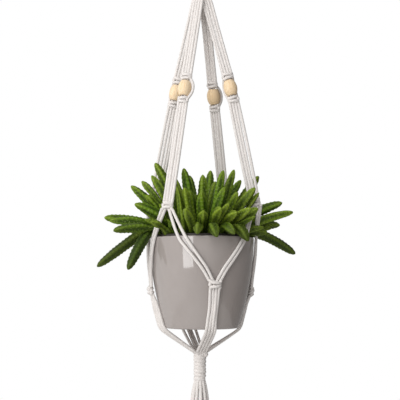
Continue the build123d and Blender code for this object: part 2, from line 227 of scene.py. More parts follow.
# %% World and lamps
world = bpy.data.worlds.new("white room")
bpy.context.scene.world = world
world.use_nodes = True
room = Board(world.node_tree)
world.node_tree.nodes.clear()
WHITE = (1, 1, 1)
way = room.node("ShaderNodeTexCoord", output="Generated")
to_right = room.node("ShaderNodeSeparateXYZ", sockets={0: way}, output="X")
falloff = room.spread(to_right, 0.9, -0.8)
seen = room.node("ShaderNodeBackground", sockets={"Color": WHITE, "Strength": 1.0})
lit = room.node(
    "ShaderNodeBackground", sockets={"Color": (1.0, 0.985, 0.97), "Strength": falloff * 0.69 + 0.15}
)
to_camera = room.node("ShaderNodeLightPath", output="Is Camera Ray")
both = room.node("ShaderNodeMixShader", sockets={0: to_camera, 1: lit, 2: seen})
room.node("ShaderNodeOutputWorld", sockets={"Surface": both})


def softbox(name, azimuth, height, distance, size, power, aim):
    """A rectangular lamp that faces a point."""
    lamp = bpy.data.lights.new(name, "AREA")
    lamp.shape = "RECTANGLE"
    lamp.size, lamp.size_y = size
    lamp.energy = power
    holder = bpy.data.objects.new(name, lamp)
    bpy.context.scene.collection.objects.link(holder)
    place = at(azimuth, distance, height)
    holder.location = place
    back = unit(place - np.array(aim))
    side = unit(np.cross(UP, back))
    rise = np.cross(back, side)
    holder.rotation_euler = turned(side, rise, back).to_euler()
    return holder


POT_MIDDLE = (0, 0, -0.46)
ARMS_MIDDLE = (0, 0, -0.3)
softbox("window", -30, -0.285, 1.5, (0.62, 1.02), 7.2, POT_MIDDLE)
softbox("side fill", -50, 0.35, 1.2, (1.1, 0.9), 5.0, ARMS_MIDDLE)
softbox("front fill", 2, 0.45, 1.3, (1.0, 0.7), 5.2, ARMS_MIDDLE)

# %% [markdown]
# ## Floor
# The planter hangs well clear of the ground. The floor is a pale disc far below, small enough to
# stay out of the front view, and seen only when the planter is looked at from above.

# %% Floor
FLOOR_Z = -1.25
FLOOR_R = 1.6
FLOOR_SIDES = 96

angles = [2 * pi * i / FLOOR_SIDES for i in range(FLOOR_SIDES)]
ring = [(FLOOR_R * cos(angle), FLOOR_R * sin(angle), FLOOR_Z) for angle in angles]
floor_mesh = bpy.data.meshes.new("floor")
floor_mesh.from_pydata(ring, [], [list(range(FLOOR_SIDES))])
floor = bpy.data.objects.new("floor", floor_mesh)
bpy.context.scene.collection.objects.link(floor)
chalk = Finish("chalk floor", {"Roughness": 0.9})
chalk.paint(colour=chalk.blend(chalk.noise(chalk.place(), 9.0), (0.80, 0.79, 0.78), (0.86, 0.85, 0.84)))
floor.data.materials.append(chalk.material)

# %% [markdown]
# ## Cotton cord
# The cord is natural cotton, three plies laid together. Seen close, each ply is a bundle of fine
# fibres that run with the twist; the grooves between the plies are darkened with painted shade.
# Noise set in space would cut across the twist, so every vertex of a cord carries where it is on
# the twist, and the fibres are noise drawn out along that.

# %% Cotton finish
COTTON_FIXED = {
    "Roughness": 0.92,
    "Sheen Weight": 0.25,
    "Sheen Roughness": 0.5,
    "Specular IOR Level": 0.25,
}
cotton = Finish("cotton cord", COTTON_FIXED)
lay = cotton.attribute("lay", "Vector")
groove = cotton.attribute("groove")
fibres = cotton.noise(cotton.stretched(lay, (1, 1, 0.5)), 9.0, 3.0, 0.6)
slubs = cotton.noise(lay, 1.3, 2.0)
raw = cotton.blend(cotton.spread(fibres, 0.3, 0.75), (0.69, 0.655, 0.625), (0.79, 0.765, 0.75))
uneven = cotton.blend(cotton.spread(slubs, 0.35, 0.7), raw, (0.75, 0.705, 0.68))
# painted shade: the grooves between the plies are blended towards grey, where less light reaches
cotton.paint(colour=cotton.blend(groove * 0.22, uneven, (0.45, 0.40, 0.37)))
cotton.bump(fibres + (1 - groove) * 0.2, 0.00025, 0.8)

# %% [markdown]
# ## Cord meshes
# A cord could be a bevelled curve, but then its plies would be a painted stripe. Here a tube is
# lofted along the route's smooth line, with a three-lobed section that turns as it goes, so the
# twist is real and shows at the edges too.

# %% Lines and tubes
STEP = 0.0011
SECTION = 15
TWIST_LENGTH = 0.0125
PLIES = 3
PLY_DEPTH = 0.05


def smooth_line(points):
    """The line of a route's NURBS spline, whose control points are the route's points."""
    curve = bpy.data.curves.new("route", "CURVE")
    curve.dimensions = "3D"
    curve.resolution_u = 16
    spline = curve.splines.new("NURBS")
    spline.points.add(len(points) - 1)
    for point, place in zip(spline.points, points):
        point.co = (*place, 1)
    spline.order_u = 3
    spline.use_endpoint_u = True
    holder = bpy.data.objects.new("route", curve)
    mesh = bpy.data.meshes.new_from_object(holder)
    line = np.array([v.co for v in mesh.vertices])
    bpy.data.objects.remove(holder)
    bpy.data.curves.remove(curve)
    bpy.data.meshes.remove(mesh)
    return line


def stepped(line, step=STEP):
    """Even steps along a line, and the distance run at each."""
    run = np.concatenate([[0], np.cumsum(np.linalg.norm(np.diff(line, axis=0), axis=1))])
    run, first = np.unique(run, return_index=True)
    line = line[first]
    places = np.linspace(0, run[-1], max(3, int(run[-1] / step) + 1))
    return np.stack([np.interp(places, run, line[:, k]) for k in range(3)], axis=1), places


def carried_frames(line):
    """Two directions square to a line, carried along it without spin."""
    along = np.gradient(line, axis=0)
    along /= np.linalg.norm(along, axis=1)[:, None]
    side = square_to(along[0], np.array([0.31, 0.94, 0.12]))
    sides = []
    for direction in along:
        side = square_to(direction, side)
        sides.append(side)
    sides = np.array(sides)
    return sides, np.cross(along, sides)


def loft(line, radii, offset):
    """Rings of points round a line, as one grid of faces with closed ends."""
    sides, rises = carried_frames(line)
    count = radii.shape[1]
    angle = 2 * pi * np.arange(count) / count
    spoke = sides[:, None] * np.cos(angle)[:, None] + rises[:, None] * np.sin(angle)[:, None]
    verts = (line[:, None] + spoke * radii[:, :, None]).reshape(-1, 3)
    ring, turn = np.meshgrid(np.arange(len(line) - 1), np.arange(count), indexing="ij")
    a, b = ring * count + turn, ring * count + (turn + 1) % count
    faces = np.stack([a, b, b + count, a + count], axis=-1).reshape(-1, 4) + offset
    last = (len(line) - 1) * count + offset
    ends = [list(range(offset + count - 1, offset - 1, -1)), list(range(last, last + count))]
    return verts, faces.tolist() + ends


def make_piece(name, verts, faces, material, values=None, vectors=None, sharp=None):
    mesh = bpy.data.meshes.new(name)
    mesh.from_pydata(np.asarray(verts).tolist(), [], faces)
    mesh.polygons.foreach_set("use_smooth", [True] * len(mesh.polygons))
    for key, data in (values or {}).items():
        mesh.attributes.new(key, "FLOAT", "POINT").data.foreach_set("value", np.ravel(data))
    for key, data in (vectors or {}).items():
        mesh.attributes.new(key, "FLOAT_VECTOR", "POINT").data.foreach_set("vector", np.ravel(data))
    mesh.materials.append(material)
    mesh.validate()
    piece = bpy.data.objects.new(name, mesh)
    bpy.context.scene.collection.objects.link(piece)
    return piece


def cord_piece(name, lines, radius=CORD_R * 1.09, fray=0.0):
    """One mesh of twisted cords along several lines; fray opens the plies over that last length."""
    verts, faces, lays, grooves = [], [], [], []
    offset = 0
    for rank, line in enumerate(lines):
        line, run = stepped(np.asarray(line))
        turned = 2 * pi * run / TWIST_LENGTH + rank * 1.7
        angle = 2 * pi * np.arange(SECTION) / SECTION
        local = angle[None] - turned[:, None]
        crest = np.abs(np.cos(local * PLIES / 2))
        depth = PLY_DEPTH * np.ones(len(run))
        size = radius * np.ones(len(run))
        if fray:
            opened = np.clip(1 - (run[-1] - run) / fray, 0, 1) ** 2
            depth = depth + 0.30 * opened
            size = size * (1 + 0.32 * opened)
        radii = size[:, None] * (1 - depth[:, None] * (1 - crest))
        made, quads = loft(line, radii, offset)
        verts.append(made)
        faces += quads
        along = np.repeat(run[:, None] / 0.010 + rank * 7.3, SECTION, axis=1)
        lays.append(np.stack([np.cos(local), np.sin(local), along], axis=-1).reshape(-1, 3))
        grooves.append(((1 - crest) ** 3).reshape(-1))
        offset += len(made)
    return make_piece(
        name,
        np.concatenate(verts),
        faces,
        cotton.material,
        {"groove": np.concatenate(grooves)},
        {"lay": np.concatenate(lays)},
    )


def dress(piece, body, nodes):
    """A finished piece rides on its body and stands for its CAD nodes."""
    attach(piece, body)
    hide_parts(*nodes)
    return piece


# %% [markdown]
# ## The arms
# Each arm is four strands side by side. Two run straight through the bead; the outer two tie a
# square knot round them above it, pass down the bead's sides, and tie another below it.

# %% Arm directions
ARM_KEYS = ("azimuth", "band", "bead_r", "bead_z", "split_r", "split_z", "behind")
ARMS = {
    "front_left": dict(zip(ARM_KEYS, (-42, -20, 0.0330, -0.231, 0.064, -0.385, [-1]))),
    "front_right": dict(zip(ARM_KEYS, (77, 4, 0.0386, -0.227, 0.070, -0.379, [-1, 1]))),
    "back_right": dict(zip(ARM_KEYS, (151, -29, 0.0330, -0.231, 0.066, -0.385, [-1, 1]))),
    "back_left": dict(zip(ARM_KEYS, (-110, 0, 0.0366, -0.229, 0.068, -0.385, [-1]))),
}
# How far each strand wanders sideways half-way down its run, as hand-tied strands do.
WANDER = {
    "front_left": (0.0002, -0.0003, 0.0002, 0.0001),
    "front_right": (-0.0003, 0.0001, -0.0005, 0.0007),
    "back_right": (-0.0003, 0.0002, -0.0002, 0.0004),
    "back_left": (-0.0006, 0.0002, 0.0009, 0.0003),
}
ARM_TOP_R = 0.0076
ARM_TOP_Z = -0.111
BEAD_KNOT_H = 0.008
BEAD_KNOT_AT = 0.0121
SPLIT_KNOT_H = 0.0124
SIDE_KNOT_H = 0.012
KNOT_BITE = 0.0016


def arm_frame(arm):
    """The places and directions of one arm."""
    top = at(arm["azimuth"], ARM_TOP_R, ARM_TOP_Z)
    bead = at(arm["azimuth"], arm["bead_r"], arm["bead_z"])
    split = at(arm["azimuth"], arm["split_r"], arm["split_z"])
    axis = unit(unit(top - bead) + unit(bead - split))
    across = square_to(axis, around(arm["band"]))
    reach = axis * (BEAD_KNOT_AT + BEAD_KNOT_H / 2)
    upper, lower = bead + reach, bead - reach
    fall = unit(lower - split)
    return {
        "top": top,
        "bead": bead,
        "split": split,
        "axis": axis,
        "across": across,
        "back": np.cross(axis, across),
        "upper": upper,
        "lower": lower,
        "fall": fall,
    }


frames = {name: arm_frame(arm) for name, arm in ARMS.items()}


def band_lines(start, end, across, wander=(0, 0, 0, 0)):
    side = square_to(unit(end - start), across)
    middle = (start + end) / 2
    return [
        smooth_line([start + side * s, middle + side * (s + 2 * w), end + side * s])
        for s, w in zip(slots(), wander)
    ]


# %% [markdown]
# ## Square knots
# In a square knot two working strands cross in front of and behind two still ones, then cross
# back again. One worker makes both bars on the front, the other both bars on the back, and each
# turns round the other at the sides. The knot is drawn once, in its own directions, and the four
# strands leave it where the bands above and below it start.

# %% Square knot
BAR_PITCH = 0.0048
KNOT_WIDE = 0.0060
BEAD_KNOT_WIDE = 0.0058
SPLIT_KNOT_WIDE = 0.0054
KNOT_DEEP = (0.0030, 0.0027)
KNOT_CORD_R = CORD_R * 1.14


def knot_lines(centre, across, up, height, above=None, below=None, deep=KNOT_DEEP, wide=KNOT_WIDE, hand=1):
    """Lines of the two still strands and the two workers of one square knot."""
    away = np.cross(across, up)
    front, back = deep
    top = above or slots()
    end = below or slots()
    reach = height / 2 - KNOT_BITE * 0.4
    near = height / 2 - 0.0012

    def spot(x, y, z):
        depth = front if y > 0 else back
        return centre + across * (x * wide * hand) + away * (y * depth) + up * z

    def lead(slot, z):
        return centre + across * slot + up * z

    order = (lambda i: i) if hand > 0 else (lambda i: 3 - i)
    lines = []
    for i in (1, 2):
        k = order(i)
        inner = slots()[k] * 0.9
        still = [lead(inner, near * 0.5), lead(inner, -near * 0.5)]
        lines.append([lead(top[k], reach), *still, lead(end[k], -reach)])
    half = BAR_PITCH / 2
    face = [lead(top[order(0)], reach), spot(-0.92, 0.35, half * 1.35)]
    for way, z in ((1, half), (-1, -half)):
        tilt = 0.13 * half * way
        face += [spot(-0.35 * way, 1.0, z + 0.0002), spot(0.35 * way, 1.0, z)]
        face += [spot(0.85 * way, 0.55, z - tilt * 2 * way)]
        if way > 0:
            face += [spot(1.08, -0.2, 0.0006), spot(1.08, -0.2, -0.0006), spot(0.85, 0.55, -half * 0.8)]
    face += [spot(-0.92, 0.3, -half * 1.5), lead(end[order(0)], -reach)]
    rear = [lead(top[order(3)], reach), spot(1.04, 0.75, half * 1.25), spot(1.02, -0.3, half)]
    rear += [spot(0.4, -1.0, half), spot(-0.5, -1.0, half), spot(-1.05, -0.3, half * 0.6)]
    rear += [spot(-1.14, 0.75, 0.0004), spot(-1.05, -0.3, -half * 0.6), spot(-0.5, -1.0, -half)]
    rear += [spot(0.4, -1.0, -half), spot(0.95, -0.5, -half * 0.9), spot(1.08, 0.5, -half * 1.2)]
    rear += [lead(end[order(3)], -reach)]
    lines += [face, rear]
    return [smooth_line(route) for route in lines]


# %% [markdown]
# ## Wooden beads
# Turned beads of pale wood, a little barrel-shaped, with softened lips where the bore comes out.
# The grain runs along the bore, so it shows as long fine streaks with a few darker pores.

# %% Bead wood
def wood_finish(name, light, dark, pore, axis_scale):
    wood = Finish(name, {"Specular IOR Level": 0.4})
    place = wood.place()
    streaks = wood.noise(wood.stretched(place, axis_scale), 1.0, 4.0, 0.6, Distortion=0.4)
    broad = wood.noise(wood.stretched(place, [a * 0.22 for a in axis_scale]), 1.0, 2.0)
    tone = wood.attribute("tone")
    grain = wood.blend(wood.spread(streaks, 0.32, 0.68), dark, light)
    washed = wood.blend(wood.spread(broad, 0.35, 0.75) * 0.5, grain, light)
    toned = wood.blend(tone, washed, wood.blend(0.6, washed, dark))
    specks = wood.noise(wood.stretched(place, [a * 2.3 for a in axis_scale]), 1.0, 1.0)
    pores = wood.spread(specks, 0.66, 0.72)
    wood.paint(colour=wood.blend(pores * 0.5, toned, pore), roughness=0.42 + streaks * 0.2)
    wood.bump(streaks - pores * 0.6, 0.00012, 0.5)
    return wood


BEAD_COLOURS = ((0.86, 0.71, 0.52), (0.76, 0.54, 0.30), (0.36, 0.22, 0.11))
bead_wood = wood_finish("bead wood", *BEAD_COLOURS, (900, 900, 55))

BEAD_R = 0.0089
BEAD_HALF = 0.0103
BEAD_OVAL = 0.0132
BEAD_BORE_R = 0.0043
BEAD_TURNS = 64
BEAD_TONES = {"front_left": 0.05, "front_right": 0.4, "back_right": 0.8, "back_left": 0.1}


def lathe(profile, turns, closed=False):
    """A profile of radius and height points turned round the axis. A zero radius is one point."""
    verts, rings = [], []
    for radius, z in profile:
        rings.append((len(verts), 1 if radius == 0 else turns))
        for i in range(rings[-1][1]):
            angle = 2 * pi * i / turns
            verts.append((radius * cos(angle), radius * sin(angle), z))
    pairs = list(zip(rings, rings[1:])) + ([(rings[-1], rings[0])] if closed else [])
    faces = []
    for (a, count_a), (b, count_b) in pairs:
        for i in range(turns):
            j = (i + 1) % turns
            if count_a == 1:
                faces.append((a, b + j, b + i))
            elif count_b == 1:
                faces.append((a + i, a + j, b))
            else:
                faces.append((a + i, a + j, b + j, b + i))
    return np.array(verts), faces


def bead_profile():
    """Up the outside in one swell, round the lip, and down the bore."""
    lip_r = (BEAD_R * sqrt(1 - (BEAD_HALF / BEAD_OVAL) ** 2) - BEAD_BORE_R) / 2
    lip_z = BEAD_HALF - lip_r
    end_r = BEAD_BORE_R + lip_r
    points = []
    for i in range(25):
        z = -lip_z + 2 * lip_z * i / 24
        points.append((BEAD_R * sqrt(1 - (z / BEAD_OVAL) ** 2), z))
    for i in range(1, 8):
        points.append((end_r + lip_r * cos(pi * i / 7), lip_z + lip_r * sin(pi * i / 7)))
    for i in range(8):
        points.append((end_r + lip_r * cos(pi + pi * i / 8), -lip_z + lip_r * sin(pi + pi * i / 8)))
    return points


# %% Tie the arms
SIDE_CORD_R = 0.0116
SIDE_CORD_TURN = 50


def bead_route(arm, side, behind):
    """One outer strand round the side of a bead."""
    turn = radians(SIDE_CORD_TURN if side in behind else 0)
    lean = arm["across"] * side * cos(turn) + arm["back"] * sin(turn)
    start = arm["across"] * side * PITCH * 1.55
    high = arm["axis"] * (BEAD_KNOT_AT + 0.0022)
    mid = arm["axis"] * 0.0076
    shoulder = lean * (SIDE_CORD_R - 0.0010)
    widest = lean * (SIDE_CORD_R + 0.0002)
    route = [start + high, shoulder + mid, widest, shoulder - mid, start - high]
    return smooth_line([arm["bead"] + place for place in route])


hung = []  # lines near the plant, which its stems keep clear of at rest
for name, arm in frames.items():
    axis, across, fall = arm["axis"], arm["across"], arm["fall"]
    upper_end = arm["upper"] + axis * (BEAD_KNOT_H / 2 - KNOT_BITE)
    lower_start = arm["lower"] - axis * (BEAD_KNOT_H / 2 - KNOT_BITE)
    split_top = arm["split"] + fall * (SPLIT_KNOT_H / 2 - KNOT_BITE)
    face = BEAD_KNOT_AT + KNOT_BITE
    through = [
        smooth_line([arm["bead"] + axis * face * k + across * side * PITCH / 2 for k in (1, -1)])
        for side in (-1, 1)
    ]
    sides = [bead_route(arm, side, ARMS[name]["behind"]) for side in (-1, 1)]
    soft = {
        "upper_cords": band_lines(arm["top"], upper_end, across, WANDER[name][::-1]),
        "upper_knot": knot_lines(arm["upper"], across, axis, BEAD_KNOT_H, wide=BEAD_KNOT_WIDE),
        "bead_cords": through + sides,
        "lower_knot": knot_lines(arm["lower"], across, axis, BEAD_KNOT_H, wide=BEAD_KNOT_WIDE, hand=-1),
        "lower_cords": band_lines(lower_start, split_top, across, WANDER[name]),
    }
    hung += soft["lower_cords"]
    for part, lines in soft.items():
        node = f"{name}_{part}"
        dress(cord_piece(f"{name}_{part}_cotton", lines), "hanger", [node])
    verts, faces = lathe(bead_profile(), BEAD_TURNS, closed=True)
    tones = {"tone": np.full(len(verts), BEAD_TONES[name])}
    bead = make_piece(f"{name}_turned_bead", verts, faces, bead_wood.material, tones)
    turn = turned(across, np.cross(axis, across), axis).to_4x4()
    bead.matrix_world = Matrix.Translation(arm["bead"].tolist()) @ turn
    dress(bead, f"{name}_bead", [f"{name}_bead"])
print("arms tied", len(frames))

# %% [markdown]
# ## The net
# Under the split knot each arm parts into two pairs. Each pair goes over the pot's rim and meets
# a pair of the next arm at a knot on the pot's side. All of it lies close to the wall.

# %% Pot wall
POT_BASE_Z = -0.539
POT_HEIGHT = 0.116
POT_RIM_Z = POT_BASE_Z + POT_HEIGHT
POT_BASE_R = 0.0472
POT_MID = (0.0604, 0.048)
POT_RIM_R = 0.0676
WALL_GAP = 0.0011


def circle_through(p, q, r):
    (ax, ay), (bx, by), (cx, cy) = p, q, r
    d = 2 * (ax * (by - cy) + bx * (cy - ay) + cx * (ay - by))
    a2, b2, c2 = ax * ax + ay * ay, bx * bx + by * by, cx * cx + cy * cy
    x = (a2 * (by - cy) + b2 * (cy - ay) + c2 * (ay - by)) / d
    y = (a2 * (cx - bx) + b2 * (ax - cx) + c2 * (bx - ax)) / d
    return x, y, sqrt((ax - x) ** 2 + (ay - y) ** 2)


ARC_X, ARC_H, ARC_R = circle_through((POT_BASE_R, 0), POT_MID, (POT_RIM_R, POT_HEIGHT))


def pot_radius(z):
    """Outer radius of the pot at a height."""
    return ARC_X + sqrt(ARC_R**2 - (z - POT_BASE_Z - ARC_H) ** 2)


def on_wall(azimuth, z, off=0):
    return at(azimuth, pot_radius(z) + CORD_R + WALL_GAP + off, z)


# %% Net routes
SIDE_KEYS = ("azimuth", "z", "off", "base", "fan", "tilt")
SIDES = {
    "front": dict(zip(SIDE_KEYS, (14, -0.483, 0, 12.5, 1.0, 0))),
    "right": dict(zip(SIDE_KEYS, (102, -0.493, 0.0003, 102, 1.0, -20))),
    "back": dict(zip(SIDE_KEYS, (200, -0.490, 0, 201, 1.6, 0))),
    "left": dict(zip(SIDE_KEYS, (-82, -0.491, 0.0011, -82, 1.0, 25))),
}
# Sideways sway of each strand below a side knot, higher and lower down, and how far it stands out.
EVEN = ((0, 0, 0),) * 4
SWAY = {"front": ((0.0017, 0.0010, 0), (0.0023, 0.0010, 0), (0.0011, 0.0006, 0.0016), (-0.0002, -0.0005, 0))}
for name, side in SIDES.items():
    side["sway"] = SWAY.get(name, EVEN)
NET = [
    ("front_left", "left", -42, -82, 0.43, 0.0044),
    ("front_left", "front", -42, 14, 0.34, 0.0064),
    ("front_right", "front", 77, 14, 0.39, 0.0042),
    ("front_right", "right", 77, 102, 0.43, 0.0048),
    ("back_right", "right", 151, 102, 0.43, 0.0042),
    ("back_right", "back", 151, 200, 0.43, 0.0042),
    ("back_left", "back", -110, -160, 0.43, 0.0042),
    ("back_left", "left", -110, -82, 0.43, 0.0046),
]
# A pair that stands open at the rim and closes further down, by side and way round.
RIM_SPREAD = {("front", 1): (1.45, 1.05, 0.85, 0.80)}
SLOT_NEAR = 0.0026
SLOT_FAR = 0.0072
SIDE_KNOT_T = 0.008


def side_knot_frame(side):
    azimuth, z = side["azimuth"], side["z"]
    slope = (pot_radius(z + 0.005) - pot_radius(z - 0.005)) / 0.010
    up = unit(UP + out(azimuth) * slope)
    radius = pot_radius(z) + 0.0005 + SIDE_KNOT_T / 2 + side["off"]
    return at(azimuth, radius, z), around(azimuth), up


def net_lines(arm, side_name, start_az, end_az, rim_share, opening):
    """Two strands from a split knot, over the rim and across the wall to a side knot."""
    way = 1 if end_az > start_az else -1
    side = SIDES[side_name]
    centre, across_side, up_side = side_knot_frame(side)
    rim_z = POT_RIM_Z + 0.0015
    rim_az = start_az + (end_az - start_az) * rim_share
    run_z = rim_z - side["z"] - SIDE_KNOT_H / 2
    run_s = radians(end_az - rim_az) * pot_radius(POT_BASE_Z + 0.080)
    size = sqrt(run_z**2 + run_s**2)
    facing = 1 if arm["across"].dot(around(start_az)) > 0 else -1
    down = -arm["fall"]
    side_dir = square_to(down, arm["across"])
    made = []
    for rank in (0, 1):
        slot = (SLOT_NEAR, SLOT_FAR)[rank] * way * facing
        start = arm["split"] + down * (SPLIT_KNOT_H / 2 - KNOT_BITE) + side_dir * slot
        spread = RIM_SPREAD.get((side_name, way), (1, 1, 1, 1))
        shift = (rank - 0.5) * opening * way
        points = [start]
        for share, wide in zip((0.0, 0.28, 0.55, 0.8), spread):
            az = rim_az + (end_az - rim_az) * share * 0.93
            az += np.degrees(shift * wide * run_z / size / pot_radius(POT_BASE_Z + 0.090))
            z = rim_z - run_z * share + shift * wide * run_s / size
            points.append(on_wall(az, min(z, POT_RIM_Z + 0.004), side["off"] * share))
        end_slot = -way * (SLOT_FAR, SLOT_NEAR)[rank]
        end = centre + up_side * (SIDE_KNOT_H / 2 - KNOT_BITE) + across_side * end_slot
        points.append(end - out(end_az) * 0.0012)
        made.append(smooth_line(points))
    return made


for name, arm in frames.items():
    pairs = [-SLOT_FAR, -SLOT_NEAR, SLOT_NEAR, SLOT_FAR]
    across = square_to(arm["fall"], arm["across"])
    lines = knot_lines(arm["split"], across, arm["fall"], SPLIT_KNOT_H, below=pairs, wide=SPLIT_KNOT_WIDE)
    hung += lines
    knotted = cord_piece(f"{name}_split_knot_cotton", lines, KNOT_CORD_R)
    dress(knotted, "hanger", [f"{name}_split_knot"])
for arm_name, side_name, *run in NET:
    node = f"net_{arm_name}_to_{side_name}"
    lines = net_lines(frames[arm_name], side_name, *run)
    hung += lines
    dress(cord_piece(f"{node}_cotton", lines), "hanger", [node])

# %% [markdown]
# ## The cradle
# From each side knot four strands run down the wall, round the base's edge and in to the
# gathering knot, so that the pot sits in a sling of sixteen strands.

# %% Cradle
GATHER_TOP_Z = -0.571
GATHER_END_Z = -0.6055
CRADLE_TURN = 16
CRADLE_END_R = 0.009
GATHER_AXIS = np.array([-0.0025, 0.0, 0.0])


def cradle_ends(turn, slot):
    return GATHER_AXIS + out(turn) * CRADLE_END_R + around(turn) * slot + UP * (GATHER_TOP_Z + 0.003)


def cradle_lines(side, turn):
    centre, across, up = side_knot_frame(side)
    base, off, tilt = side["base"], side["off"], radians(side["tilt"])
    middle = (side["azimuth"] + base) / 2
    low_across = around(base) * cos(tilt) - out(base) * sin(tilt)
    made = []
    for slot, (sway, low_sway, stand) in zip(slots(), side["sway"]):
        low_slot = slot * (side["fan"] if abs(slot) > PITCH else 1)
        start = centre - up * (SIDE_KNOT_H / 2 - KNOT_BITE) + across * slot - out(side["azimuth"]) * 0.0008
        wall = on_wall(middle, POT_BASE_Z + 0.030, off + stand) + low_across * ((slot + low_slot) / 2 + sway)
        low_wall = on_wall(base, POT_BASE_Z + 0.013, off + stand) + low_across * (low_slot + low_sway)
        edge = at(base, POT_BASE_R + 0.0040 + off * 0.6, POT_BASE_Z - 0.0001) + low_across * low_slot
        under = at(base, POT_BASE_R - 0.004, POT_BASE_Z - 0.0070) + low_across * low_slot
        made.append(smooth_line([start, wall, low_wall, edge, under, cradle_ends(turn, slot)]))
    return made


for rank, (name, side) in enumerate(SIDES.items()):
    centre, across, up = side_knot_frame(side)
    pairs = [-SLOT_FAR, -SLOT_NEAR, SLOT_NEAR, SLOT_FAR]
    lines = knot_lines(centre, across, up, SIDE_KNOT_H, above=pairs, deep=(0.0031, 0.0021))
    dress(cord_piece(f"{name}_knot_cotton", lines, KNOT_CORD_R), "hanger", [f"{name}_knot"])
    lines = cradle_lines(side, CRADLE_TURN + 90 * rank)
    dress(cord_piece(f"{name}_cradle_cotton", lines), "hanger", [f"{name}_cradle_cords"])
print("net and cradle tied")

# %% [markdown]
# ## Gathering knots
# The crown and the foot are bound the same way: one cord wound tight round all the strands, its
# turns side by side, with its two ends pulled in under the winding. A loop of code makes the
# helix; each turn is given a little of its own size, because no hand winds evenly.

# %% Wraps and bundles
WRAP_R = 0.0084
WRAP_CORD_R = 0.0030
WRAP_LINE_R = WRAP_R - WRAP_CORD_R
WRAP_PITCH = 0.0042
WRAP_POINTS = 12
rng = np.random.default_rng(7)


def wrap_route(top_z, end_z, start_az):
    turns = int((top_z - end_z - CORD_D) / WRAP_PITCH)
    pitch = (top_z - end_z - CORD_D) / turns
    wobble = rng.uniform(-0.00022, 0.00022, turns + 2)
    route = []
    for i in range(turns * WRAP_POINTS + 1):
        share = i / WRAP_POINTS
        k = int(share)
        loose = wobble[k] + (wobble[k + 1] - wobble[k]) * (share - k)
        route.append(at(start_az + 360 * share, WRAP_LINE_R + loose, top_z - CORD_R - pitch * share + loose))
    return route


def crown_wrap_route():
    route = wrap_route(-0.068, -0.100, 130)
    first, last = route[0], route[-1]
    return [first * (0.3, 0.3, 1) - UP * 0.002] + route + [last * (0.3, 0.3, 1) + UP * 0.002]


def gathering_wrap_route():
    """The lower winding: its first end stands up in a small loop, and its last turn slants."""
    route = wrap_route(GATHER_TOP_Z, GATHER_END_Z, 62)
    start = [at(20, 0.0030, -0.5780), at(30, 0.0052, -0.5700)]
    start += [at(50, 0.0086, -0.5692), at(66, 0.0094, -0.5735)]
    slant = [p - UP * 0.0007 for p in route[-8:]]
    end = [route[-1] * (0.8, 0.8, 1) + UP * 0.0005, route[-1] * (0.35, 0.35, 1) + UP * 0.003]
    return start + route[3:-8] + slant + end


lower_wrap = [GATHER_AXIS + place for place in gathering_wrap_route()]
for node, route in (("crown_wrap", crown_wrap_route()), ("gathering_wrap", lower_wrap)):
    dress(cord_piece(f"{node}_cotton", [smooth_line(route)], WRAP_CORD_R), "hanger", [node])

CROWN_LEGS = [
    ("front_left", -1, range(0, 4)),
    ("front_right", -1, range(4, 8)),
    ("back_left", 1, range(0, 4)),
    ("back_right", 1, range(4, 8)),
]
LOOP_END_Z = -0.050
LOOP_END_Y = 0.0029


def crown_lines():
    """Sixteen strands from the ring's loops, through the waist and out to the four arms."""
    made = []
    for arm_name, side, loops in CROWN_LEGS:
        arm = frames[arm_name]
        run = unit(arm["upper"] - arm["top"])
        across = square_to(run, arm["across"])
        spread = slots() if across[0] > 0 else slots()[::-1]
        for loop, slot in zip(loops, spread):
            leg = np.array([(loop - 3.5) * PITCH, side * LOOP_END_Y, LOOP_END_Z])
            waist = out(ARMS[arm_name]["azimuth"]) * 0.0031 + square_to(UP, arm["across"]) * slot * 0.48
            top = arm["top"] + across * slot
            drawn_in = leg * (0.86, 0.95, 1) - UP * 0.006
            bound = [waist * 1.15 - UP * 0.066, waist - UP * 0.074, waist - UP * 0.098]
            before = top - run * 0.007
            flared = before + (waist * 1.3 - before * (1, 1, 0)) * 0.25
            made.append([leg, drawn_in, *bound, flared, top + run * 0.0008])
    return [smooth_line(route) for route in made]


crown = cord_piece("crown_bundle_cotton", crown_lines())
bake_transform(crown)
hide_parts("crown_bundle")

neck = []
for rank in range(4):
    turn = CRADLE_TURN + 90 * rank
    for slot in slots():
        end = cradle_ends(turn, slot)
        lead = end + unit(out(turn) * 0.030 + UP * 0.012) * 0.0006
        inner = out(turn) * 0.0034 + around(turn) * slot * 0.5
        drawn_in = GATHER_AXIS + (end - GATHER_AXIS) * (0.72, 0.72, 1) - UP * 0.0012
        down = [GATHER_AXIS + inner * k - UP * drop for k, drop in ((1.2, 0.5745), (1, 0.580), (1, 0.603))]
        neck.append(smooth_line([lead, drawn_in, *down]))
dress(cord_piece("gathering_bundle_cotton", neck), "hanger", ["gathering_bundle"])

# %% [markdown]
# ## Tassel
# Below the lower winding the sixteen strands hang loose and end in a plain cut, a little uneven,
# where the plies start to open. Each is a free cord of its own length.

# %% Tassel strands
TASSEL_TOP_Z = -0.611
TASSEL_TIP_Z = -0.776
TASSEL_RINGS = (("outer", 11, 0.0072), ("inner", 5, 0.00315))
FRAY = 0.012
TASSEL_CORD_R = CORD_R * 1.14


def tassel_route(index, count, radius, tip_z):
    azimuth = 360 * (index + 0.25) / count
    lean = 1 + 0.12 * sin(index * 2.4)
    route = [
        at(azimuth, radius * 0.62, TASSEL_TOP_Z + 0.009),
        at(azimuth, radius, TASSEL_TOP_Z),
        at(azimuth, radius * (1.42 + 0.05 * lean), TASSEL_TOP_Z - 0.020),
        at(azimuth, radius * (1.62 + 0.08 * lean), TASSEL_TOP_Z - 0.062),
        at(azimuth, radius * (1.70 + 0.12 * lean), tip_z),
    ]
    return [GATHER_AXIS + place for place in route]


